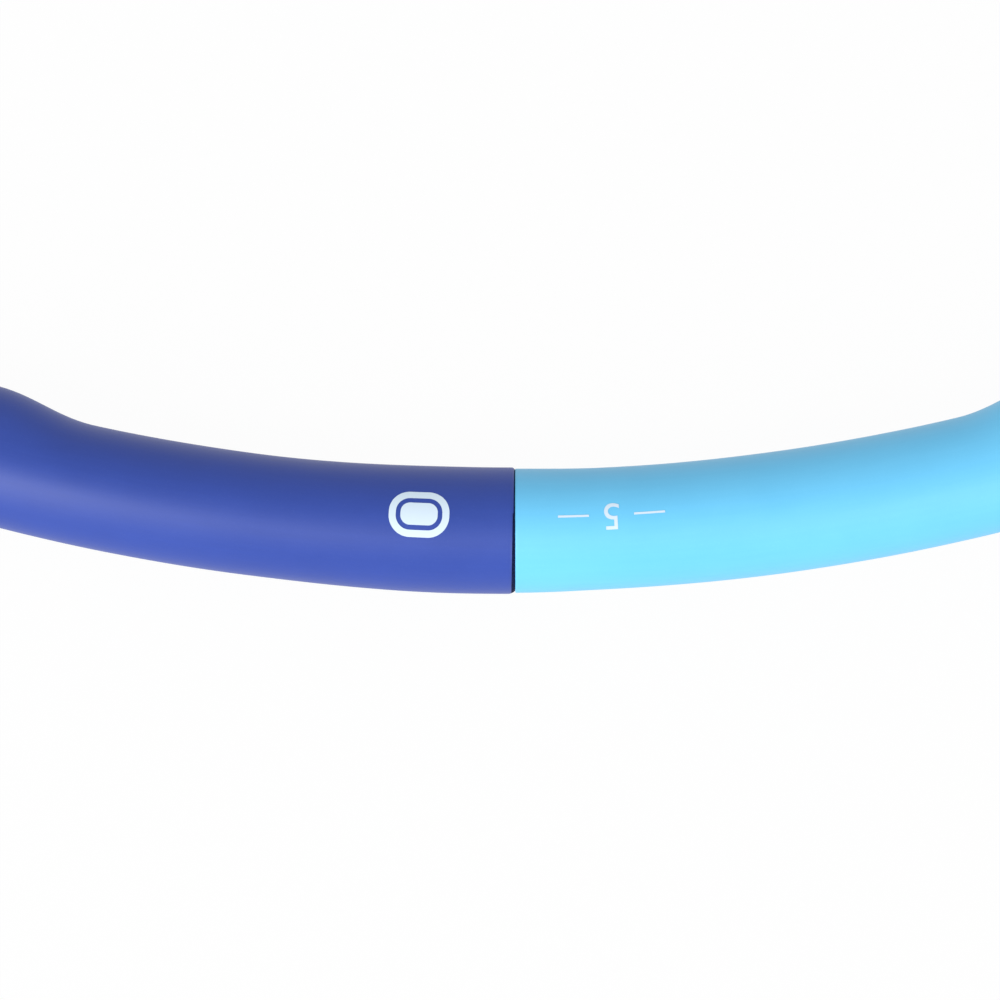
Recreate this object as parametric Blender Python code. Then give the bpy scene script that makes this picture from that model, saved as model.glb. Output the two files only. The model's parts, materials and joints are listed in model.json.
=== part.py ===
"""A foam-covered exercise hoop that pulls apart into eight curved sections.

Every section is the same: a curved core tube in a foam sleeve, with a plug and its straight
spigot in one end and a straight-bored socket in the other. A leaf spring inside the spigot
pushes a domed button up through a window in the next section's socket, which locks the two.
The hoop lies flat, its axis is +Z and its centre is the origin. Metres.
"""

import math

import bmesh
import bpy
from mathutils import Matrix, Vector

# Driving dimensions of the hoop.
HOOP_DIAMETER = 1.030
SECTIONS = 8
FIRST_JOINT_ANGLE = math.radians(90)
FOAM_DIAMETER = 0.031
JOINT_GAP = 0.0008
SIDES = 12
SMALL_SIDES = 8

# Foam sleeve: its waves lie on the inner side, and its socket end stands a little proud.
WAVE_HEIGHT = 0.004
WAVES = 3
PLUG_END_MARGIN = 0.1175
SOCKET_END_MARGIN = 0.111
WAVE_STEPS = 4
SOCKET_FLARE = 0.0006
FLARE_FLAT = 0.016
FLARE_LENGTH = 0.062

# Core tube.
CORE_DIAMETER = 0.022
CORE_WALL = 0.0018
CORE_SETBACK = 0.0015
MIDDLE_SPANS = 4

# Plug, with its shank in the core tube and its straight spigot outside.
SHANK_LENGTH = 0.028
SPIGOT_LENGTH = 0.034
SPIGOT_WALL = 0.0019
NOSE_CHAMFER = 0.0012
COLLAR_THICKNESS = 0.0009
COLLAR_LIP = 0.0001

# Socket, pressed into the other end of the core tube.
SOCKET_WALL = 0.0015
SOCKET_SPARE_LENGTH = 0.003
SOCKET_MOUTH_CHAMFER = 0.0006

# Snap clip: a flat leaf with a domed button, riveted under the top wall of the plug.
BUTTON_PLACE = 0.0246
BUTTON_DIAMETER = 0.0068
DOME_CROWN, DOME_SIDE, DOME_FLAT = 0.62, 0.78, 0.4
LEAF_WIDTH = 0.0046
LEAF_THICKNESS = 0.0005
LEAF_TAIL = 0.0034
RIVET_PLACE = 0.008
RIVET_DIAMETER = 0.0018
RIVET_HEAD_DIAMETER = 0.0038
RIVET_HEAD_THICKNESS = 0.0010
BOSS_DIAMETER = 0.0050
BOSS_DROP = 0.0010
WALL_LEFT = 0.0010

# Pin that holds the plug in the core tube, from below.
PIN_PLACE = 0.019
PIN_DIAMETER = 0.0024
PIN_BITE = 0.0024

# Clearances.
FIT = 0.0003
WINDOW_CLEARANCE = 0.0006
CUT_OVERSHOOT = 0.002

# What follows from them.
CENTRE_RADIUS = (HOOP_DIAMETER - FOAM_DIAMETER) / 2
SECTION_ANGLE = 2 * math.pi / SECTIONS
SECTION_LENGTH = CENTRE_RADIUS * SECTION_ANGLE
WAVE_ZONE = SECTION_LENGTH - PLUG_END_MARGIN - SOCKET_END_MARGIN
FOAM_RADIUS = FOAM_DIAMETER / 2
CORE_RADIUS = CORE_DIAMETER / 2
CORE_BORE = CORE_RADIUS - CORE_WALL
INSERT_RADIUS = CORE_BORE - FIT
COLLAR_RADIUS = CORE_RADIUS - COLLAR_LIP
COLLAR_FACE = JOINT_GAP / 2
COLLAR_BACK = CORE_SETBACK - FIT
FOAM_BORE = CORE_RADIUS + FIT
SOCKET_BORE = INSERT_RADIUS - SOCKET_WALL
SOCKET_LENGTH = SPIGOT_LENGTH + SOCKET_SPARE_LENGTH
SPIGOT_RADIUS = SOCKET_BORE - FIT
SPIGOT_BORE = SPIGOT_RADIUS - SPIGOT_WALL
# A straight spigot in a curved tube: its axis is moved inwards by half of the tube's rise.
AXIS_SHIFT = SPIGOT_LENGTH**2 / (2 * CENTRE_RADIUS) / 2
BOSS_BOTTOM = SPIGOT_BORE - BOSS_DROP
LEAF_TOP = BOSS_BOTTOM - FIT
LEAF_MIDDLE = LEAF_TOP - LEAF_THICKNESS / 2
BUTTON_TOP = CORE_RADIUS - COLLAR_LIP
BUTTON_SHOULDER = BUTTON_TOP - BUTTON_DIAMETER / 3
WINDOW_RADIUS = BUTTON_DIAMETER / 2 + WINDOW_CLEARANCE
PIN_TOP = INSERT_RADIUS - PIN_BITE
UP = Vector((0, 0, 1))

# Colour, roughness and metallic value of each material.
FINISHES = {
    "foam_dark_blue": ((0.040, 0.068, 0.340), 0.62, 0.0),
    "foam_cyan": ((0.115, 0.560, 0.860), 0.62, 0.0),
    "core_plastic": ((0.060, 0.062, 0.066), 0.45, 0.0),
    "plug_plastic": ((0.700, 0.710, 0.720), 0.40, 0.0),
    "socket_plastic": ((0.100, 0.104, 0.112), 0.45, 0.0),
    "spring_steel": ((0.620, 0.630, 0.650), 0.30, 1.0),
    "rivet_steel": ((0.500, 0.500, 0.510), 0.35, 1.0),
}


def clear_scene():
    for thing in list(bpy.data.objects):
        bpy.data.objects.remove(thing, do_unlink=True)


def make_material(name):
    colour, roughness, metallic = FINISHES[name]
    material = bpy.data.materials.new(name)
    material.use_nodes = True
    shader = material.node_tree.nodes["Principled BSDF"]
    shader.inputs["Base Color"].default_value = (*colour, 1)
    shader.inputs["Roughness"].default_value = roughness
    shader.inputs["Metallic"].default_value = metallic
    material.diffuse_color = (*colour, 1)
    return material


# A section's own frame: the origin is the centre of the tube at its plug end, X points out of
# the hoop, Y runs along the tube and Z is up.
def on_arc(along):
    """The tube's centre at that length along it, the way out of the hoop and the way along."""
    turn = Matrix.Rotation(along / CENTRE_RADIUS, 3, "Z")
    outward = turn @ Vector((1, 0, 0))
    return (outward - Vector((1, 0, 0))) * CENTRE_RADIUS, outward, turn @ Vector((0, 1, 0))


def on_axis(end, along):
    """A point of the straight axis through the joint at that end of the tube, and its frame."""
    centre, outward, forward = on_arc(end)
    return centre - AXIS_SHIFT * outward + along * forward, outward, forward


def ring(place, radius, swell=0.0):
    """A twelve-sided ring across the tube, flat on top and below; swell adds to its inner side."""
    centre, outward, _ = place
    points = []
    for side in range(SIDES):
        angle = 2 * math.pi * (side + 0.5) / SIDES
        reach = radius / math.cos(math.pi / SIDES) + swell * max(0.0, -math.cos(angle)) ** 2
        points.append(centre + reach * (math.cos(angle) * outward + math.sin(angle) * UP))
    return points


def upright_ring(centre, radius, height, sides):
    """A level ring round a vertical axis, for buttons, rivets, pins and their holes."""
    points = []
    for side in range(sides):
        angle = 2 * math.pi * (side + 0.5) / sides
        across = Vector((math.cos(angle), math.sin(angle), 0)) * radius
        points.append(Vector((centre.x, centre.y, height)) + across)
    return points


def skin(name, rings, joined_ends):
    """A closed mesh through rings of points: a loop of rings is a hollow piece, a row is solid."""
    sides = len(rings[0])
    shape = bmesh.new()
    rows = [[shape.verts.new(point) for point in points] for points in rings]
    pairs = list(zip(rows, rows[1:]))
    if joined_ends:
        pairs.append((rows[-1], rows[0]))
    else:
        shape.faces.new(rows[0])
        shape.faces.new(rows[-1])
    for first, second in pairs:
        for side in range(sides):
            after = (side + 1) % sides
            shape.faces.new((first[side], first[after], second[after], second[side]))
    bmesh.ops.recalc_face_normals(shape, faces=shape.faces)
    mesh = bpy.data.meshes.new(name)
    shape.to_mesh(mesh)
    shape.free()
    return mesh


def upright_solid(name, centre, steps, sides=SMALL_SIDES):
    return skin(name, [upright_ring(centre, radius, z, sides) for radius, z in steps], False)


def add_helper(name, mesh):
    """A hidden tool body for a Boolean."""
    helper = bpy.data.objects.new(name, mesh)
    helper.hide_render = True
    helper.display_type = "WIRE"
    bpy.context.scene.collection.objects.link(helper)
    return helper


def combined(mesh, tools):
    """The mesh after each (operation, tool mesh), worked out once and shared by every copy."""
    blank = add_helper(mesh.name + "_blank", mesh)
    helpers = [add_helper(f"{mesh.name}_tool_{n}", tool) for n, (_, tool) in enumerate(tools)]
    for helper, (operation, _) in zip(helpers, tools):
        boolean = blank.modifiers.new(operation.lower(), "BOOLEAN")
        boolean.operation = operation
        boolean.solver = "EXACT"
        boolean.object = helper
    bpy.context.view_layer.update()
    graph = bpy.context.evaluated_depsgraph_get()
    result = bpy.data.meshes.new_from_object(blank.evaluated_get(graph))
    result.name = mesh.name
    for helper in [blank, *helpers]:
        bpy.data.objects.remove(helper, do_unlink=True)
    return result


def add_piece(name, mesh, material, parent):
    mesh.shade_smooth()
    mesh.set_sharp_from_angle(angle=math.radians(35))
    piece = bpy.data.objects.new(name, mesh)
    if not mesh.materials:
        mesh.materials.append(material)
    piece.material_slots[0].link = "OBJECT"
    piece.material_slots[0].material = material
    piece.parent = parent
    bpy.context.scene.collection.objects.link(piece)
    return piece


def add_empty(name, location, turn, parent=None):
    empty = bpy.data.objects.new(name, None)
    empty.location = location
    empty.rotation_euler = (0, 0, turn)
    empty.empty_display_size = 0.02
    empty.parent = parent
    bpy.context.scene.collection.objects.link(empty)
    return empty


# Lengths along the tube where both the core tube and the sleeve's bore change direction, so
# that their flat facets stay parallel.
def shared_stations(plug_end, socket_end):
    fine = SHANK_LENGTH / 2
    near = [fine, SHANK_LENGTH, SHANK_LENGTH + fine]
    far = [SECTION_LENGTH - length for length in reversed(near)]
    span = (far[0] - near[-1]) / MIDDLE_SPANS
    middle = [near[-1] + span * n for n in range(1, MIDDLE_SPANS)]
    return [plug_end, *near, *middle, *far, socket_end]


def flare_at(along):
    """How far the sleeve stands proud of its plain radius near the socket end."""
    from_end = SECTION_LENGTH - along
    share = (FLARE_LENGTH - from_end) / (FLARE_LENGTH - FLARE_FLAT)
    return SOCKET_FLARE * min(1.0, max(0.0, share))


def wave_at(along):
    """How far the wave stands up on the inner side of the sleeve."""
    share = (along - PLUG_END_MARGIN) / WAVE_ZONE
    if not 0 < share < 1:
        return 0.0
    return WAVE_HEIGHT / 2 * (1 - math.cos(2 * math.pi * WAVES * share))


def foam_sleeve():
    first = JOINT_GAP / 2
    last = SECTION_LENGTH - JOINT_GAP / 2
    count = WAVES * WAVE_STEPS
    waves = [PLUG_END_MARGIN + WAVE_ZONE * n / count for n in range(count + 1)]
    before = [first, PLUG_END_MARGIN / 3, PLUG_END_MARGIN * 2 / 3]
    after = [SECTION_LENGTH - FLARE_LENGTH, SECTION_LENGTH - FLARE_FLAT, last]
    outer = [
        ring(on_arc(along), FOAM_RADIUS + flare_at(along), wave_at(along))
        for along in [*before, *waves, *after]
    ]
    inner = [ring(on_arc(along), FOAM_BORE) for along in shared_stations(first, last)]
    return skin("foam_sleeve", outer + inner[::-1], True)


def button_window(end):
    """The vertical hole for the button through whatever lies round the joint at that end."""
    centre, _, _ = on_axis(end, -BUTTON_PLACE)
    return upright_solid("window", centre, [(WINDOW_RADIUS, 0), (WINDOW_RADIUS, FOAM_RADIUS)], SIDES)


def pin_hole(deepest):
    centre, _, _ = on_arc(PIN_PLACE)
    radius = PIN_DIAMETER / 2 + FIT
    steps = [(radius, -CORE_RADIUS - CUT_OVERSHOOT), (radius, -deepest)]
    return upright_solid("pin_hole", centre, steps)


def core_tube():
    stations = shared_stations(CORE_SETBACK, SECTION_LENGTH - CORE_SETBACK)
    outer = [ring(on_arc(along), CORE_RADIUS) for along in stations]
    inner = [ring(on_arc(along), CORE_BORE) for along in stations]
    tube = skin("core_tube", outer + inner[::-1], True)
    window = button_window(SECTION_LENGTH)
    return combined(tube, [("DIFFERENCE", window), ("DIFFERENCE", pin_hole(SPIGOT_BORE))])


def plug():
    arc_rings = [
        ring(on_arc(SHANK_LENGTH), INSERT_RADIUS),
        ring(on_arc(SHANK_LENGTH / 2), INSERT_RADIUS),
        ring(on_arc(COLLAR_BACK), INSERT_RADIUS),
        ring(on_arc(COLLAR_BACK), COLLAR_RADIUS),
        ring(on_arc(COLLAR_FACE), COLLAR_RADIUS),
    ]
    nose = -SPIGOT_LENGTH
    spigot_rings = [
        ring(on_axis(0, COLLAR_FACE), SPIGOT_RADIUS),
        ring(on_axis(0, nose + NOSE_CHAMFER), SPIGOT_RADIUS),
        ring(on_axis(0, nose), SPIGOT_RADIUS - NOSE_CHAMFER),
    ]
    bore_rings = [ring(on_axis(0, nose), SPIGOT_BORE), ring(on_axis(0, SHANK_LENGTH), SPIGOT_BORE)]
    body = skin("plug", arc_rings + spigot_rings + bore_rings, True)
    rivet_centre, _, _ = on_axis(0, RIVET_PLACE)
    boss_top = (SPIGOT_BORE + INSERT_RADIUS) / 2
    boss_steps = [(BOSS_DIAMETER / 2, BOSS_BOTTOM), (BOSS_DIAMETER / 2, boss_top)]
    boss = upright_solid("boss", rivet_centre, boss_steps)
    hole_radius = RIVET_DIAMETER / 2 + FIT
    hole_steps = [(hole_radius, BOSS_BOTTOM - CUT_OVERSHOOT), (hole_radius, INSERT_RADIUS - WALL_LEFT)]
    rivet_hole = upright_solid("rivet_hole", rivet_centre, hole_steps)
    cuts = [button_window(0), rivet_hole, pin_hole(PIN_TOP - FIT)]
    return combined(body, [("UNION", boss), *(("DIFFERENCE", cut) for cut in cuts)])


def socket():
    end = SECTION_LENGTH
    outer = [
        ring(on_arc(end - COLLAR_FACE), COLLAR_RADIUS),
        ring(on_arc(end - COLLAR_BACK), COLLAR_RADIUS),
        ring(on_arc(end - COLLAR_BACK), INSERT_RADIUS),
        ring(on_arc(end - SHANK_LENGTH / 2), INSERT_RADIUS),
        ring(on_arc(end - SHANK_LENGTH), INSERT_RADIUS),
        ring(on_arc(end - SOCKET_LENGTH), INSERT_RADIUS),
    ]
    bore = [
        ring(on_axis(end, -SOCKET_LENGTH), SOCKET_BORE),
        ring(on_axis(end, -COLLAR_FACE - SOCKET_MOUTH_CHAMFER), SOCKET_BORE),
        ring(on_axis(end, -COLLAR_FACE), SOCKET_BORE + SOCKET_MOUTH_CHAMFER),
    ]
    body = skin("socket", outer + bore, True)
    return combined(body, [("DIFFERENCE", button_window(end))])


# The snap clip, its rivet and their frame: the origin is on the press axis, in the middle of
# the leaf and under the rivet.
def clip_origin():
    centre, _, _ = on_axis(0, RIVET_PLACE)
    return Vector((centre.x, centre.y, LEAF_MIDDLE))


def snap_clip():
    wide, thick = LEAF_WIDTH / 2, LEAF_THICKNESS / 2
    corners = [(-wide, -thick), (wide, -thick), (wide, thick), (-wide, thick)]
    tip = -(RIVET_PLACE + BUTTON_PLACE + BUTTON_DIAMETER / 2)
    ends = [[Vector((x, along, z)) for x, z in corners] for along in (tip, LEAF_TAIL)]
    leaf = skin("snap_clip", ends, False)
    button_centre = Vector((0, -RIVET_PLACE - BUTTON_PLACE, 0))
    radius = BUTTON_DIAMETER / 2
    top = BUTTON_TOP - LEAF_MIDDLE
    shoulder = BUTTON_SHOULDER - LEAF_MIDDLE
    crown = shoulder + (top - shoulder) * DOME_CROWN
    steps = [(radius, 0), (radius, shoulder), (radius * DOME_SIDE, crown), (radius * DOME_FLAT, top)]
    button = upright_solid("button", button_centre, steps, SIDES)
    hole_radius = RIVET_DIAMETER / 2 + FIT
    hole_steps = [(hole_radius, -CUT_OVERSHOOT), (hole_radius, CUT_OVERSHOOT)]
    hole = upright_solid("clip_hole", Vector(), hole_steps)
    return combined(leaf, [("UNION", button), ("DIFFERENCE", hole)])


def clip_rivet():
    head_top = -LEAF_THICKNESS / 2 - FIT
    head_bottom = head_top - RIVET_HEAD_THICKNESS
    shank_top = INSERT_RADIUS - WALL_LEFT - FIT - LEAF_MIDDLE
    head, shank = RIVET_HEAD_DIAMETER / 2, RIVET_DIAMETER / 2
    steps = [(head * 0.7, head_bottom), (head, (head_bottom + head_top) / 2), (head, head_top)]
    return upright_solid("clip_rivet", Vector(), [*steps, (shank, head_top), (shank, shank_top)])


def plug_pin():
    centre, _, _ = on_arc(PIN_PLACE)
    bottom = -CORE_RADIUS + COLLAR_LIP
    return upright_solid("plug_pin", centre, [(PIN_DIAMETER / 2, bottom), (PIN_DIAMETER / 2, -PIN_TOP)])


clear_scene()
MATERIALS = {name: make_material(name) for name in FINISHES}
MESHES = {
    "foam_sleeve": (foam_sleeve(), None),
    "core_tube": (core_tube(), "core_plastic"),
    "plug": (plug(), "plug_plastic"),
    "socket": (socket(), "socket_plastic"),
    "plug_pin": (plug_pin(), "rivet_steel"),
}
CLIP_MESHES = {
    "snap_clip": (snap_clip(), "spring_steel"),
    "clip_rivet": (clip_rivet(), "rivet_steel"),
}

for number in range(1, SECTIONS + 1):
    joint_angle = FIRST_JOINT_ANGLE + SECTION_ANGLE * (number - 1)
    joint_point = Vector((math.cos(joint_angle), math.sin(joint_angle), 0)) * CENTRE_RADIUS
    section = add_empty(f"section_{number}_frame", joint_point, joint_angle)
    press_axis = add_empty(f"snap_{number}_axis", clip_origin(), 0, section)
    foam_finish = "foam_cyan" if number % 2 else "foam_dark_blue"
    for piece, (mesh, finish) in MESHES.items():
        add_piece(f"{piece}_{number}", mesh, MATERIALS[finish or foam_finish], section)
    for piece, (mesh, finish) in CLIP_MESHES.items():
        add_piece(f"{piece}_{number}", mesh, MATERIALS[finish], press_axis)
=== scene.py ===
import json
import math

import bmesh
import bpy
from mathutils import Matrix, Vector, noise

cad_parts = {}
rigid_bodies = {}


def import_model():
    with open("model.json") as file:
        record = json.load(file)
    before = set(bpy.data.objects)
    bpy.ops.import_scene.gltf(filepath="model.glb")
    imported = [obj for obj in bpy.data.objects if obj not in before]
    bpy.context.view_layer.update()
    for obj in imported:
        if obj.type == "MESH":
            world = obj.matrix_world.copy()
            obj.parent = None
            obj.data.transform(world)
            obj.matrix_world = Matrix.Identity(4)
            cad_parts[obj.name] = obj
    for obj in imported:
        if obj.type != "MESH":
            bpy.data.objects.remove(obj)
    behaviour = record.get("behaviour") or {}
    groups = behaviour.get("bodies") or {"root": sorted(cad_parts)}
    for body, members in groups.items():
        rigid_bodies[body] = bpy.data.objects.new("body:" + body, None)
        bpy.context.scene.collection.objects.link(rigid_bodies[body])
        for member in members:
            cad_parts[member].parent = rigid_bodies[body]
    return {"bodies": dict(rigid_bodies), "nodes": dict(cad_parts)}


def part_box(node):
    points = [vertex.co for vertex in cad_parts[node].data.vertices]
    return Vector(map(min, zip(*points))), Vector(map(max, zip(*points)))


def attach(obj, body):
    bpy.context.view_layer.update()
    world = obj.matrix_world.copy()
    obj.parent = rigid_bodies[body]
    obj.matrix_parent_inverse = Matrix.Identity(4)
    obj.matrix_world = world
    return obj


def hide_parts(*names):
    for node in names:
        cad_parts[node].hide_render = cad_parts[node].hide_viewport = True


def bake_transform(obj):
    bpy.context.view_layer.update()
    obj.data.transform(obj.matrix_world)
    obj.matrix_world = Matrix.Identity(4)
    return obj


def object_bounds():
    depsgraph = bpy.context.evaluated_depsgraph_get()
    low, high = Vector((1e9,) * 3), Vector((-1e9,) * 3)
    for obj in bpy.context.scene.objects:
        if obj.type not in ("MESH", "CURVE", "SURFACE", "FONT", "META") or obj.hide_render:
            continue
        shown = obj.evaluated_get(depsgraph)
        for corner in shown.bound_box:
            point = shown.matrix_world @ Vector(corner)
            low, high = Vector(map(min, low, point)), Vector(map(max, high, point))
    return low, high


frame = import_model()
cad_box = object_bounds()

# Foam sleeves. Each of the hoop's eight equal curved sections wears a moulded sleeve of closed-cell
# rubber foam with a smooth matt skin, pulled over the core tube and glued. Its inner side swells into
# three waves, and its socket end is a little thicker, with a rim that draws back on the outer side.
section_count = sum(body.startswith("section_") for body in frame["bodies"])
section_angle = 2 * math.pi / section_count
collar_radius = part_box("plug_1")[1].z
hoop_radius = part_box("plug_1")[1].y - collar_radius
section_length = hoop_radius * section_angle
core_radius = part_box("core_tube_1")[1].z
foam_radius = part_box("foam_sleeve_1")[1].y - hoop_radius
flared_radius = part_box("foam_sleeve_1")[1].z
foam_bore = core_radius + 0.0003
skin_sides = 96
skin_steps = 210
bore_steps = 16
foam_gap = 0.000002
plug_edge_round = 0.0004
socket_edge_round = 0.0008
edge_segments = 7
socket_end_slant = 0.0008
# Width of the band round the socket end's rim that gets the cut material. On dark blue sections this band
# is painted shade for the gap at the joint.
socket_shade_band = 0.0009
wave_height = 0.004
wave_count = 3
plug_end_margin = 0.1175
socket_end_margin = 0.111
flare_flat = 0.012
flare_length = 0.066
lip_height = 0.0003
lip_length = 0.022
sleeve_unevenness = 0.00006
uneven_along = 40
uneven_round = 0.8
inner_shade_share = 1 / 6


def on_tube(along, angle, radius):
    """A point round the tube of the section whose plug end is on +X; angle 0 is outwards."""
    turn = along / hoop_radius
    reach = hoop_radius + radius * math.cos(angle)
    return Vector((reach * math.cos(turn), reach * math.sin(turn), radius * math.sin(angle)))


def tube_place(point):
    """How far along the tube a point is, its angle round the tube and its distance from the middle."""
    along = math.atan2(point.y, point.x) * hoop_radius
    out = math.hypot(point.x, point.y) - hoop_radius
    return along, math.atan2(point.z, out), math.hypot(out, point.z)


def smooth_step(value):
    share = min(1.0, max(0.0, value))
    return share * share * (3 - 2 * share)


def sleeve_rise(along, angle):
    """How far the skin stands above the plain tube: its ends, waves and unevenness."""
    from_end = section_length - along
    flare = (flared_radius - foam_radius) * smooth_step(
        (flare_length - from_end) / (flare_length - flare_flat)
    )
    lip = lip_height * smooth_step(1 - along / lip_length)
    share = (along - plug_end_margin) / (section_length - plug_end_margin - socket_end_margin)
    wave = 0.0
    if 0 < share < 1:
        wave = wave_height / 2 * (1 - math.cos(2 * math.pi * wave_count * share))
    inner_side = max(0.0, -math.cos(angle)) ** 2
    around = Vector((0, math.cos(angle), math.sin(angle))) * uneven_round
    spot = Vector((along * uneven_along, around.y, around.z))
    return flare + lip + wave * inner_side + sleeve_unevenness * noise.noise(spot)


def select_only(*things):
    for thing in list(bpy.context.selected_objects):
        thing.select_set(False)
    for thing in things:
        thing.select_set(True)
    bpy.context.view_layer.objects.active = things[0]


def edit(piece, mode="VERT"):
    """Edit mode with nothing selected."""
    select_only(piece)
    bpy.ops.object.mode_set(mode="EDIT")
    bpy.ops.mesh.select_mode(type=mode)
    bpy.ops.mesh.select_all(action="DESELECT")


def spun_tube(radius, sides, steps, start, end):
    """A circle across the tube, spun round the hoop's axis from one place along it to another."""
    bpy.ops.mesh.primitive_circle_add(
        vertices=sides,
        radius=radius,
        location=on_tube(start, 0, 0),
        rotation=(math.pi / 2, 0, start / hoop_radius),
    )
    tube = bpy.context.active_object
    edit(tube)
    bpy.ops.mesh.select_all(action="SELECT")
    bpy.ops.mesh.spin(
        steps=steps, angle=(end - start) / hoop_radius, center=(0, 0, 0), axis=(0, 0, -1)
    )
    bpy.ops.object.mode_set(mode="OBJECT")
    select_only(tube)
    bpy.ops.object.transform_apply(location=True, rotation=True, scale=True)
    return tube


def select_edges(piece, wanted):
    """Selects the edges that wanted says yes to, by their place."""
    shape = bmesh.from_edit_mesh(piece.data)
    for edge in shape.edges:
        edge.select_set(wanted(edge))
    shape.select_flush_mode()
    bmesh.update_edit_mesh(piece.data)


def at_end(edge, end):
    return all(abs(tube_place(vert.co)[0] - end) < 1e-4 for vert in edge.verts)


def on_skin(edge):
    return all(tube_place(vert.co)[2] > foam_radius - 1e-4 for vert in edge.verts)


def settle(piece, angle=40):
    """Back to object mode, with the place in the mesh, faces outwards and smooth shading."""
    if bpy.context.mode != "OBJECT":
        bpy.ops.object.mode_set(mode="OBJECT")
    select_only(piece)
    bpy.ops.object.transform_apply(location=True, rotation=True, scale=True)
    edit(piece)
    bpy.ops.mesh.select_all(action="SELECT")
    bpy.ops.mesh.normals_make_consistent(inside=False)
    bpy.ops.object.mode_set(mode="OBJECT")
    bpy.ops.object.shade_smooth_by_angle(angle=math.radians(angle))
    return piece


def sleeve_pattern():
    """The sleeve of the section whose plug end is on +X: a skin and a bore, joined at the cut ends."""
    start, end = foam_gap, section_length - foam_gap
    sleeve = spun_tube(foam_radius, skin_sides, skin_steps, start, end)
    bore = spun_tube(foam_bore, skin_sides, bore_steps, start, end)
    select_only(sleeve, bore)
    bpy.ops.object.join()
    for cut in (start, end):
        edit(sleeve, "EDGE")
        select_edges(sleeve, lambda edge: edge.is_boundary and at_end(edge, cut))
        bpy.ops.mesh.bridge_edge_loops()
        bpy.ops.object.mode_set(mode="OBJECT")
    edit(sleeve)
    bpy.ops.mesh.select_all(action="SELECT")
    bpy.ops.mesh.normals_make_consistent(inside=False)
    bpy.ops.object.mode_set(mode="OBJECT")
    for cut, size in ((start, plug_edge_round), (end, socket_edge_round)):
        edit(sleeve, "EDGE")
        select_edges(sleeve, lambda edge: at_end(edge, cut) and on_skin(edge))
        bpy.ops.mesh.bevel(offset=size, segments=edge_segments, affect="EDGES")
        bpy.ops.object.mode_set(mode="OBJECT")
    soft_depth = foam_radius - socket_edge_round
    for vert in sleeve.data.vertices:
        along, angle, radius = tube_place(vert.co)
        outer_share = smooth_step((radius - foam_bore) / (soft_depth - foam_bore))
        if outer_share > 0:
            rise = outer_share * sleeve_rise(along, angle)
            if along > section_length - 2 * socket_edge_round:
                skin_share = max(0.0, (radius - soft_depth) / socket_edge_round)
                along -= socket_end_slant * skin_share * (1 + math.cos(angle)) / 2
            vert.co = on_tube(along, angle, radius + rise)
    # The cut end faces get the cut material. So does a band of skin round the socket end's rim, widest on
    # the outer side. On dark blue sections this band is painted shade for the gap between sections.
    for face in sleeve.data.polygons:
        along, angle, _ = tube_place(face.center)
        along_tube = Vector((-face.center.y, face.center.x, 0)).normalized()
        cut_flat = abs(face.normal.dot(along_tube)) > 0.97
        outside = (1 + math.cos(angle)) / 2
        shade_band_share = inner_shade_share + (1 - inner_shade_share) * outside
        painted_shade_rim = section_length - along < socket_shade_band * shade_band_share
        face.material_index = int(cut_flat or painted_shade_rim)
    return settle(sleeve, 50)


class Wire:
    """A shader socket that can stand in a sum; each operator adds its Math node."""

    def __init__(self, finish, socket):
        self.finish = finish
        self.socket = socket

    def maths(self, operation, *values):
        return self.finish.node("ShaderNodeMath", {"operation": operation}, dict(enumerate(values)))

    def __add__(self, other):
        return self.maths("ADD", self, other)

    def __sub__(self, other):
        return self.maths("SUBTRACT", self, other)

    def __rsub__(self, other):
        return self.maths("SUBTRACT", other, self)

    def __mul__(self, other):
        return self.maths("MULTIPLY", self, other)

    __radd__ = __add__
    __rmul__ = __mul__


class Finish:
    """One procedural material, with a Principled shader and the nodes that feed it."""

    def __init__(self, name):
        self.material = bpy.data.materials.new(name)
        self.material.use_nodes = True
        self.tree = self.material.node_tree
        self.shader = self.tree.nodes["Principled BSDF"]
        self.place = self.node("ShaderNodeTexCoord", {}, {}, "Object")

    def set(self, socket, value):
        if isinstance(value, Wire):
            self.tree.links.new(value.socket, socket)
        else:
            socket.default_value = value

    def node(self, kind, settings, values, output=0):
        """Adds a node: its settings first, then the values or links of its sockets. It gives one output."""
        added = self.tree.nodes.new(kind)
        for name, value in settings.items():
            setattr(added, name, value)
        by_name = {socket.identifier: socket for socket in added.inputs}
        for name, value in values.items():
            self.set(added.inputs[name] if isinstance(name, int) else by_name[name], value)
        if isinstance(output, str):
            output = [socket.identifier for socket in added.outputs].index(output)
        return Wire(self, added.outputs[output])

    def shade(self, **values):
        """Sets or links the shader's own sockets."""
        for name, value in values.items():
            self.set(self.shader.inputs[name.replace("_", " ")], value)

    def speckle(self, place, scale, detail=2.0, roughness=0.5):
        values = {"Vector": place, "Scale": scale, "Detail": detail, "Roughness": roughness}
        return self.node("ShaderNodeTexNoise", {}, values)

    def blend_colours(self, share, first, second):
        values = {"Factor_Float": share, "A_Color": first, "B_Color": second}
        return self.node("ShaderNodeMix", {"data_type": "RGBA"}, values, "Result_Color")

    def ramp(self, value, low, high):
        """0 below low, 1 above high and a straight line between."""
        settings = {"clamp": True}
        values = {"Value": value, "From Min": low, "From Max": high}
        return self.node("ShaderNodeMapRange", settings, values)

    def bump(self, height, depth, strength=1.0):
        values = {"Strength": strength, "Distance": depth, "Height": height}
        return self.node("ShaderNodeBump", {}, values)


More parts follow.
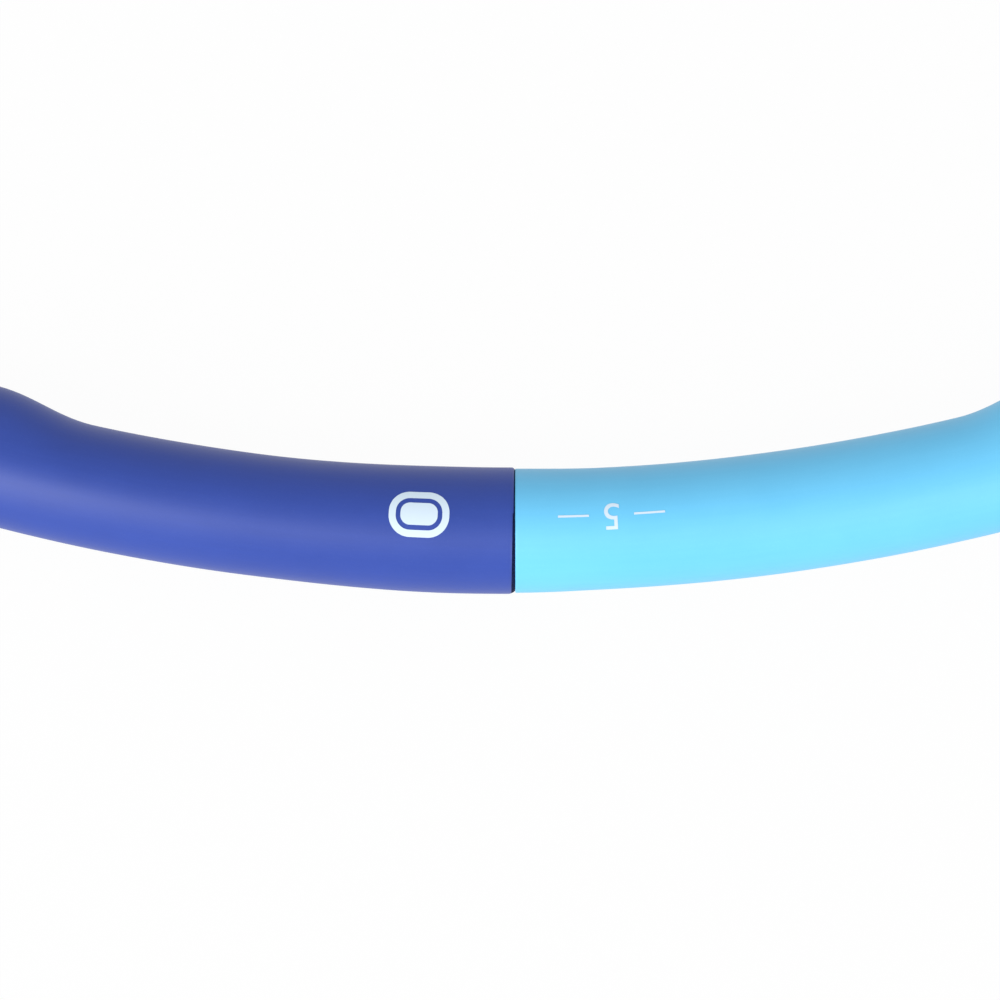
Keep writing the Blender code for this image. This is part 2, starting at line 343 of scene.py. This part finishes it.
def tube_streaks(finish, across_scale):
    """Faint lines that run along the tube, as drawing, moulding and rolling leave them."""
    split = finish.node("ShaderNodeSeparateXYZ", {}, {"Vector": finish.place})
    parts = split.socket.node.outputs
    x, y, z = (Wire(finish, parts[axis]) for axis in "XYZ")
    out = finish.node("ShaderNodeMath", {"operation": "SQRT"}, {0: x * x + y * y}) - hoop_radius
    along = finish.node("ShaderNodeMath", {"operation": "ARCTAN2"}, {0: y, 1: x})
    drawn = finish.node("ShaderNodeCombineXYZ", {}, {"X": along * 0.02, "Y": out, "Z": z})
    return finish.speckle(drawn, across_scale, 3.0)


def foam_skin(name, colour, deep, bloom, roughness, gloss):
    """Matt rubber skin: fine pores, faint draw lines and a slight bloom that dulls it in patches."""
    skin = Finish(name)
    pore_values = {"Vector": skin.place, "Scale": 3400.0}
    pores = skin.node("ShaderNodeTexVoronoi", {"feature": "SMOOTH_F1"}, pore_values)
    grain = skin.speckle(skin.place, 1900.0, 3.0, 0.6)
    patches = skin.speckle(skin.place, 38.0, 4.0, 0.62)
    streaks = tube_streaks(skin, 900.0)
    tone = skin.ramp(patches * 0.7 + streaks * 0.3, 0.34, 0.68)
    base = skin.blend_colours(tone, (*deep, 1), (*colour, 1))
    dusty = skin.ramp(grain, 0.55, 0.85) * 0.16
    skin.shade(
        Base_Color=skin.blend_colours(dusty, base, (*bloom, 1)),
        Roughness=roughness + (patches - 0.5) * 0.12 + (grain - 0.5) * 0.10,
        Normal=skin.bump(pores * 0.5 + grain * 0.35 + streaks * 0.25, 0.00003, 0.5),
    )
    skin.shader.inputs["Specular IOR Level"].default_value = gloss
    return skin.material


def cut_foam(name, colour, deep):
    """The cut end of the foam: its open cells get a darker colour, which is painted shade in the hollows.
    """
    cut = Finish(name)
    cell_values = {"Vector": cut.place, "Scale": 1500.0}
    cells = cut.node("ShaderNodeTexVoronoi", {"feature": "F1"}, cell_values)
    fine = cut.speckle(cut.place, 4200.0, 2.0)
    depth = cut.ramp(cells, 0.1, 0.6)
    cut.shade(
        Base_Color=cut.blend_colours(depth, (*deep, 1), (*colour, 1)),
        Roughness=0.86 + (fine - 0.5) * 0.1,
        Normal=cut.bump(depth + fine * 0.3, 0.00022, 0.9),
    )
    cut.shader.inputs["Specular IOR Level"].default_value = 0.12
    return cut.material


blue_skin = foam_skin(
    "foam_dark_blue_skin", (0.011, 0.041, 0.270), (0.009, 0.036, 0.243), (0.05, 0.09, 0.33), 0.45, 0.52
)
cyan_skin = foam_skin(
    "foam_cyan_skin", (0.107, 0.444, 0.705), (0.097, 0.420, 0.675), (0.19, 0.55, 0.80), 0.45, 0.58
)
# The dark blue cut colours are painted shade. They are far darker than the blue skin and stand for the dark
# gap where two sections meet.
blue_cut_painted_shade = cut_foam("foam_dark_blue_painted_shade", (0.005, 0.009, 0.05), (0.002, 0.004, 0.02))
cyan_cut = cut_foam("foam_cyan_cut", (0.10, 0.42, 0.66), (0.04, 0.22, 0.40))

first_joint_angle = math.pi / 2


def joint_turn(number):
    return Matrix.Rotation(first_joint_angle + section_angle * (number - 1), 4, "Z")


def place_copy(pattern, name, number, *finishes):
    """A copy of a pattern piece with its own mesh, turned round the hoop to its own section."""
    piece = pattern.copy()
    piece.data = pattern.data.copy()
    piece.data.transform(joint_turn(number))
    piece.name = name
    piece.data.name = name
    bpy.context.scene.collection.objects.link(piece)
    for finish in finishes:
        piece.data.materials.append(finish)
    return piece


def discard(*things):
    for thing in things:
        bpy.data.objects.remove(thing, do_unlink=True)


sleeve = sleeve_pattern()
for number in range(1, section_count + 1):
    cyan = number % 2 == 1
    skins = (cyan_skin, cyan_cut) if cyan else (blue_skin, blue_cut_painted_shade)
    piece = place_copy(sleeve, f"sleeve_{number}", number, *skins)
    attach(piece, f"section_{number}")
    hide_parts(f"foam_sleeve_{number}")
discard(sleeve)

# Printed marks. White pad-printed ink on top of the sleeve: over each hidden button a press mark, which
# is an oval ring round a filled oval, and at the plug end the section's own number between two lines.
# Each film is cut into narrow strips so that it lies on the curved skin.
mark_place = section_length - 0.0242
mark_inwards = 0.0003
mark_outer, mark_corner = Vector((0.0153, 0.0116)), 0.0054
mark_band = 0.00177
mark_core, core_corner = Vector((0.0094, 0.0056)), 0.0024
ink_lift = 0.00002
ink_thickness = 0.00004
strip = 0.0005
number_place = 0.0243
number_height = 0.0098
rule_size = Vector((0.0078, 0.00055))
rule_distance = 0.0096


def oval_plate(size, corner, sides=96):
    """A flat oblong with round corners, from a filled circle pulled apart both ways."""
    bpy.ops.mesh.primitive_circle_add(
        vertices=sides, radius=corner, fill_type="NGON", rotation=(0, 0, math.pi / sides)
    )
    plate = bpy.context.active_object
    bpy.ops.object.transform_apply(location=True, rotation=True, scale=True)
    for vert in plate.data.vertices:
        vert.co.x += math.copysign(size.x / 2 - corner, vert.co.x)
        vert.co.y += math.copysign(size.y / 2 - corner, vert.co.y)
    return plate


def cut_in_strips(film):
    """Cuts a flat film into strips both ways, so that it can bend."""
    reach = max(max(abs(vert.co.x), abs(vert.co.y)) for vert in film.data.vertices)
    count = math.ceil(reach / strip)
    for step in range(-count, count + 1):
        cuts = [((0, step * strip, 0), (0, 1, 0))]
        if step % 4 == 0:
            cuts.append(((step * strip, 0, 0), (1, 0, 0)))
        for place, normal in cuts:
            edit(film)
            bpy.ops.mesh.select_all(action="SELECT")
            bpy.ops.mesh.bisect(plane_co=place, plane_no=normal)
            bpy.ops.object.mode_set(mode="OBJECT")


def lay_on_sleeve(film, along, inwards=0.0):
    """Gives a flat film its thickness and wraps it on top of the sleeve at that place."""
    cut_in_strips(film)
    select_only(film)
    thickness = film.modifiers.new("thickness", "SOLIDIFY")
    thickness.thickness = ink_thickness
    thickness.offset = 1
    bpy.ops.object.modifier_apply(modifier=thickness.name)
    for vert in film.data.vertices:
        flat = vert.co.copy()
        place = along + flat.x
        angle = math.pi / 2 + (flat.y + inwards) / foam_radius
        radius = foam_radius + sleeve_rise(place, angle) + ink_lift + flat.z
        vert.co = on_tube(place, angle, radius)
    return settle(film, 30)


ink = Finish("print_ink")
ink_grain = ink.speckle(ink.place, 1500.0, 3.0, 0.6)
ink_thin = ink.ramp(ink_grain, 0.62, 0.8) * 0.25
ink.shade(
    Base_Color=ink.blend_colours(ink_thin, (0.49, 0.59, 0.68, 1), (0.37, 0.47, 0.64, 1)),
    Roughness=0.42 + (ink_grain - 0.5) * 0.2,
    Normal=ink.bump(ink_grain, 0.00002, 0.5),
)

mark_ring = oval_plate(mark_outer, mark_corner)
edit(mark_ring, "FACE")
bpy.ops.mesh.select_all(action="SELECT")
bpy.ops.mesh.inset(thickness=mark_band, depth=0)
bpy.ops.mesh.delete(type="FACE")
bpy.ops.object.mode_set(mode="OBJECT")
lay_on_sleeve(mark_ring, mark_place, mark_inwards)
mark_middle = lay_on_sleeve(oval_plate(mark_core, core_corner), mark_place, mark_inwards)
for number in range(1, section_count + 1):
    for pattern, name in ((mark_ring, "press_ring"), (mark_middle, "press_oval")):
        piece = place_copy(pattern, f"{name}_{number}", number, ink.material)
        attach(piece, f"section_{number}")
discard(mark_ring, mark_middle)

for number in range(1, section_count + 1):
    bpy.ops.object.text_add()
    label = bpy.context.active_object
    label.data.body = str(number)
    label.data.size = number_height
    label.data.align_x = "CENTER"
    label.data.align_y = "CENTER"
    select_only(label)
    bpy.ops.object.convert(target="MESH")
    label.data.transform(Matrix.Rotation(math.pi, 4, "Z"))
    rules = []
    for side in (-1, 1):
        bpy.ops.mesh.primitive_plane_add(size=1, location=(side * rule_distance, 0, 0))
        rule = bpy.context.active_object
        rule.scale = (rule_size.x, rule_size.y, 1)
        bpy.ops.object.transform_apply(location=True, rotation=True, scale=True)
        rules.append(rule)
    select_only(label, *rules)
    bpy.ops.object.join()
    edit(label)
    bpy.ops.mesh.select_all(action="SELECT")
    bpy.ops.mesh.remove_doubles(threshold=1e-6)
    bpy.ops.mesh.normals_make_consistent(inside=False)
    bpy.ops.object.mode_set(mode="OBJECT")
    lay_on_sleeve(label, number_place)
    piece = place_copy(label, f"section_number_{number}", number, ink.material)
    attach(piece, f"section_{number}")
    discard(label)

# Core tubes. A curved tube of black plastic carries each section. It is drawn, then bent, and a round
# window and a pin hole are drilled near its ends. The sleeve hides it except at the rims.
core = Finish("core_tube_plastic")
core_streaks = tube_streaks(core, 700.0)
core_grain = core.speckle(core.place, 1200.0, 3.0)
core.shade(
    Base_Color=core.blend_colours(core_streaks, (0.030, 0.031, 0.034, 1), (0.060, 0.062, 0.066, 1)),
    Roughness=0.38 + (core_grain - 0.5) * 0.16,
    Normal=core.bump(core_streaks + core_grain * 0.3, 0.00003, 0.5),
)
for number in range(1, section_count + 1):
    tube = frame["nodes"][f"core_tube_{number}"]
    tube.data.materials.clear()
    tube.data.materials.append(core.material)

# Plugs. A light grey moulding is fixed in one end of each tube: a shank inside the tube, a collar that
# covers the tube's rim, and a straight hollow spigot with a rounded nose and a button window.
plug_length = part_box("plug_1")[1].x
axis_shift = plug_length**2 / (4 * hoop_radius)
shank_radius = 0.0085
shank_length = -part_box("plug_1")[0].x
spigot_radius = 0.0071
spigot_bore = 0.0052
nose_round = 0.0012
nose_segments = 5
collar_width = 0.0106
collar_face = 0.0004
collar_back = 0.0012
collar_round = 0.0003
window_radius = 0.0040
button_place = 0.0246
turned_sides = 72


def turned(name, profile, place, axis, sides=turned_sides):
    """A closed outline of (radius, distance along the axis), drawn point by point and spun round."""
    bpy.ops.mesh.primitive_plane_add(size=0.001)
    piece = bpy.context.active_object
    piece.name = name
    edit(piece)
    bpy.ops.mesh.select_all(action="SELECT")
    bpy.ops.mesh.merge(type="CENTER")
    side = Vector((0, 0, 1)) if abs(axis.z) < 0.5 else Vector((1, 0, 0))
    points = [place + axis * along + side * radius for radius, along in profile]
    bpy.ops.transform.translate(value=points[0])
    for last, point in zip(points, points[1:]):
        bpy.ops.mesh.extrude_region_move(TRANSFORM_OT_translate={"value": point - last})
    bpy.ops.mesh.select_all(action="SELECT")
    if profile[0][0] > 0:
        bpy.ops.mesh.edge_face_add()
        bpy.ops.mesh.delete(type="ONLY_FACE")
        bpy.ops.mesh.select_all(action="SELECT")
    bpy.ops.mesh.spin(steps=sides, angle=2 * math.pi, center=place, axis=axis)
    bpy.ops.mesh.select_all(action="SELECT")
    bpy.ops.mesh.remove_doubles(threshold=2e-6)
    return settle(piece)


def rounded(corner, start, end, size, segments):
    """Points of a round corner of an outline, between the directions it comes from and goes to."""
    first = corner + (start - corner).normalized() * size
    last = corner + (end - corner).normalized() * size
    return [
        tuple(first.lerp(corner, t).lerp(corner.lerp(last, t), t))
        for t in (step / segments for step in range(segments + 1))
    ]


def outline(corners):
    """(radius, along) points of an outline; a corner with a third number is rounded by it."""
    points = []
    flat = [Vector(corner[:2]) for corner in corners]
    for index, corner in enumerate(corners):
        if len(corner) == 2:
            points.append(tuple(corner))
            continue
        before, after = flat[index - 1], flat[(index + 1) % len(flat)]
        points += rounded(flat[index], before, after, corner[2], nose_segments)
    return points


def cut_out(piece, tool):
    """Takes the tool's shape out of the piece."""
    select_only(piece)
    hole = piece.modifiers.new("hole", "BOOLEAN")
    hole.object = tool
    hole.operation = "DIFFERENCE"
    hole.solver = "EXACT"
    bpy.ops.object.modifier_apply(modifier=hole.name)


def window_tool(place):
    """An upright round cutter for the button's window."""
    middle = place + Vector((0, 0, foam_radius / 2))
    bpy.ops.mesh.primitive_cylinder_add(
        vertices=48, radius=window_radius, depth=foam_radius, location=middle
    )
    return bpy.context.active_object


along_tube = Vector((0, 1, 0))
joint_axis_point = Vector((hoop_radius - axis_shift, 0, 0))
button_point = joint_axis_point - along_tube * button_place
plug_outline = outline(
    [
        (shank_radius, shank_length, 0.0006),
        (shank_radius, collar_back),
        (collar_width, collar_back, collar_round),
        (collar_width, collar_face, collar_round),
        (spigot_radius, collar_face),
        (spigot_radius, -plug_length, nose_round),
        (spigot_bore, -plug_length, 0.0003),
        (spigot_bore, shank_length, 0.0003),
    ]
)
plug = turned("plug_pattern", plug_outline, joint_axis_point, along_tube)
window = window_tool(button_point)
cut_out(plug, window)
discard(window)
settle(plug)


def moulded_plastic(name, dark, light, roughness):
    """Moulded plastic: fine spark-eroded texture, flow marks and light rubbing."""
    plastic = Finish(name)
    texture = plastic.speckle(plastic.place, 2600.0, 3.0, 0.6)
    flow = plastic.speckle(plastic.place, 120.0, 3.0)
    rub = plastic.speckle(plastic.place, 420.0, 5.0, 0.7)
    plastic.shade(
        Base_Color=plastic.blend_colours(plastic.ramp(flow, 0.35, 0.65), (*dark, 1), (*light, 1)),
        Roughness=roughness + (rub - 0.5) * 0.22,
        Normal=plastic.bump(texture + rub * 0.5, 0.00002, 0.6),
    )
    return plastic.material


plug_plastic = moulded_plastic("plug_plastic", (0.42, 0.43, 0.44), (0.47, 0.48, 0.49), 0.40)
for number in range(1, section_count + 1):
    piece = place_copy(plug, f"spigot_plug_{number}", number, plug_plastic)
    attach(piece, f"section_{number}")
    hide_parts(f"plug_{number}")
discard(plug)

# Sockets. A dark grey moulding is pressed in the other end of each tube: a collar over the tube's rim,
# and a straight bore with a flared mouth for the next section's spigot and a window for its button.
socket_length = 0.037
socket_radius = 0.0083
socket_bore = 0.0074
socket_mouth = 0.0080
socket_outline = outline(
    [
        (socket_radius, -socket_length),
        (socket_radius, -collar_back),
        (collar_width, -collar_back, collar_round),
        (collar_width, -collar_face, collar_round),
        (socket_mouth, -collar_face, 0.0002),
        (socket_bore, -collar_back),
        (socket_bore, -socket_length, 0.0003),
    ]
)
# The socket end is modelled at the plug end's joint and then turned on by one section.
socket = turned("socket_pattern", socket_outline, joint_axis_point, along_tube)
window = window_tool(button_point)
cut_out(socket, window)
discard(window)
settle(socket)
socket.data.transform(Matrix.Rotation(section_angle, 4, "Z"))
socket_plastic = moulded_plastic(
    "socket_plastic", (0.085, 0.088, 0.095), (0.105, 0.108, 0.115), 0.42
)
for number in range(1, section_count + 1):
    piece = place_copy(socket, f"socket_bush_{number}", number, socket_plastic)
    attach(piece, f"section_{number}")
    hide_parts(f"socket_{number}")
discard(socket)

# Snap clips. A strip of spring steel lies under the plug's top wall, riveted at one end. Its other end
# carries a pressed steel button with a domed top, which springs up through the windows.
leaf_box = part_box("snap_clip_1")
leaf_thickness = 0.0005
leaf_width = 0.0046
leaf_bottom = leaf_box[0].z
leaf_tip = button_place + 0.0034
leaf_root = 0.0114
rivet_place = 0.008
button_radius = 0.0034
button_top = leaf_box[1].z
button_shoulder = button_top - 0.0024
leaf_steps = 24
dome_steps = 8
foot_gap = 0.00002

leaf_middle = joint_axis_point + along_tube * (leaf_root - leaf_tip) / 2
bpy.ops.mesh.primitive_cube_add(
    size=1, location=leaf_middle + Vector((0, 0, leaf_bottom + leaf_thickness / 2))
)
leaf = bpy.context.active_object
leaf.scale = (leaf_width, leaf_root + leaf_tip, leaf_thickness)
bpy.ops.object.transform_apply(location=True, rotation=True, scale=True)
edit(leaf, "EDGE")
select_edges(leaf, lambda edge: abs((edge.verts[0].co - edge.verts[1].co).normalized().z) > 0.9)
bpy.ops.mesh.bevel(offset=0.0012, segments=5, affect="EDGES")
bpy.ops.object.mode_set(mode="OBJECT")
for step in range(1, leaf_steps):
    cut = joint_axis_point + along_tube * (leaf_root - (leaf_root + leaf_tip) * step / leaf_steps)
    edit(leaf)
    bpy.ops.mesh.select_all(action="SELECT")
    bpy.ops.mesh.bisect(plane_co=cut, plane_no=along_tube)
    bpy.ops.object.mode_set(mode="OBJECT")
settle(leaf)
dome_height = button_top - button_shoulder
dome = [
    (button_radius * math.cos(t), button_shoulder + dome_height * math.sin(t))
    for t in (math.pi / 2 * step / dome_steps for step in range(dome_steps))
]
dome.append((0.0, button_top))
upright = Vector((0, 0, 1))
button_foot = leaf_bottom + leaf_thickness + foot_gap
button_outline = [(0.0, button_foot), (button_radius, button_foot)]
button = turned("button_pattern", button_outline + dome, button_point, upright, 48)


def sprung_steel(name, tint, roughness):
    """Rolled spring steel: fine grain along the strip and darker handling marks."""
    steel = Finish(name)
    grain = tube_streaks(steel, 5200.0)
    marks = steel.speckle(steel.place, 260.0, 4.0, 0.65)
    dull = steel.ramp(marks, 0.5, 0.75)
    steel.shade(
        Base_Color=steel.blend_colours(dull * 0.5, (*tint, 1), (0.36, 0.36, 0.38, 1)),
        Roughness=roughness + dull * 0.18 + (grain - 0.5) * 0.16,
        Normal=steel.bump(grain, 0.00001, 0.5),
        Metallic=1.0,
    )
    return steel.material


clip_steel = sprung_steel("spring_steel", (0.64, 0.65, 0.67), 0.26)
for number in range(1, section_count + 1):
    strip_piece = place_copy(leaf, f"clip_leaf_{number}", number, clip_steel)
    button_piece = place_copy(button, f"clip_button_{number}", number, clip_steel)
    turn = joint_turn(number)
    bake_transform(strip_piece)
    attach(button_piece, f"snap_{number}")
    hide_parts(f"snap_clip_{number}")
discard(leaf, button)

# Clip rivets and plug pins. A mushroom-headed rivet holds each leaf's root under the plug's top wall.
# A plain round pin, flush with the tube, goes through the underside of the tube into the plug's shank.
rivet_radius = 0.0009
rivet_head = 0.0019
rivet_head_depth = 0.0010
head_steps = 7
pin_radius = 0.0012
pin_place = 0.019
rivet_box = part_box("clip_rivet_1")
pin_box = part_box("plug_pin_1")
rivet_point = joint_axis_point + along_tube * rivet_place
rivet_bottom, rivet_top = rivet_box[0].z, rivet_box[1].z
rivet_outline = [(0.0, rivet_bottom)]
rivet_outline += [
    (rivet_head * math.sin(t), rivet_bottom + rivet_head_depth * (1 - math.cos(t)))
    for t in (math.pi / 2 * step / head_steps for step in range(1, head_steps + 1))
]
rivet_outline += [
    (rivet_radius, rivet_bottom + rivet_head_depth),
    (rivet_radius, rivet_top),
    (0.0, rivet_top),
]
rivet = turned("rivet_pattern", rivet_outline, rivet_point, upright, 32)
pin_chamfer = 0.0003
pin_outline = [
    (0.0, pin_box[0].z),
    (pin_radius - pin_chamfer, pin_box[0].z),
    (pin_radius, pin_box[0].z + pin_chamfer),
    (pin_radius, pin_box[1].z - pin_chamfer),
    (pin_radius - pin_chamfer, pin_box[1].z),
    (0.0, pin_box[1].z),
]
pin = turned("pin_pattern", pin_outline, on_tube(pin_place, 0, 0), upright, 32)
fastener_steel = sprung_steel("rivet_steel", (0.52, 0.52, 0.53), 0.32)
for number in range(1, section_count + 1):
    for pattern, name, node in ((rivet, "leaf_rivet", "clip_rivet"), (pin, "shank_pin", "plug_pin")):
        piece = place_copy(pattern, f"{name}_{number}", number, fastener_steel)
        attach(piece, f"section_{number}")
        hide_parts(f"{node}_{number}")
discard(rivet, pin)

# Floor, light and camera. A plain white studio floor glows enough to stay white. Two large soft lights
# stand low in front of the hoop, left and right, so the skin is bright in front and deeper inwards.
floor_size = 40.0
floor_drop = 0.0003
bpy.ops.mesh.primitive_plane_add(size=floor_size, location=(0, 0, cad_box[0].z - floor_drop))
floor = bpy.context.active_object
floor.name = "studio_floor"
paper = Finish("studio_paper")
paper_grain = paper.speckle(paper.place, 300.0, 2.0)
paper.shade(
    Base_Color=paper.blend_colours(paper_grain, (0.018, 0.018, 0.018, 1), (0.021, 0.021, 0.021, 1)),
    Roughness=0.9,
)
paper.shader.inputs["Emission Color"].default_value = (1, 1, 1, 1)
paper.shader.inputs["Emission Strength"].default_value = 0.965
paper.shader.inputs["Specular IOR Level"].default_value = 0.0
floor.data.materials.append(paper.material)

world = bpy.data.worlds.new("studio")
bpy.context.scene.world = world
world.use_nodes = True
world.node_tree.nodes["Background"].inputs["Color"].default_value = (1.0, 1.0, 1.0, 1)
world.node_tree.nodes["Background"].inputs["Strength"].default_value = 0.75

front_of_hoop = Vector((0, -hoop_radius, 0))


def softbox(name, azimuth, elevation, distance, size, power):
    """A soft light panel that faces the front of the hoop; azimuth 0 is in front."""
    side, height = math.radians(azimuth), math.radians(elevation)
    level = Vector((math.sin(side), -math.cos(side), 0)) * math.cos(height)
    way = level + Vector((0, 0, math.sin(height)))
    bpy.ops.object.light_add(type="AREA", location=front_of_hoop + way * distance)
    light = bpy.context.active_object
    light.name = name
    light.data.shape = "RECTANGLE"
    light.data.size, light.data.size_y = size
    light.data.energy = power
    light.rotation_euler = (math.pi / 2 - height, 0, side)


softbox("left_light", -53, 31, 1.7, (1.0, 1.9), 38.0)
softbox("right_light", 45, 31, 1.7, (0.9, 1.8), 14.0)

camera_elevation = math.radians(77.2)
camera_azimuth = math.radians(-0.19)
camera_distance = 1.6
seen_width = 0.2542
aim_left, aim_up = 0.0038, 0.0078
bpy.ops.object.camera_add(rotation=(math.pi / 2 - camera_elevation, 0, camera_azimuth))
camera = bpy.context.active_object
view_turn = camera.rotation_euler.to_matrix()
camera.location = front_of_hoop + view_turn @ Vector((-aim_left, aim_up, camera_distance))
camera.data.sensor_width = 36.0
camera.data.lens = camera.data.sensor_width * camera_distance / seen_width
camera.data.clip_end = 50.0
bpy.context.scene.camera = camera
bpy.context.scene.view_settings.view_transform = "Standard"
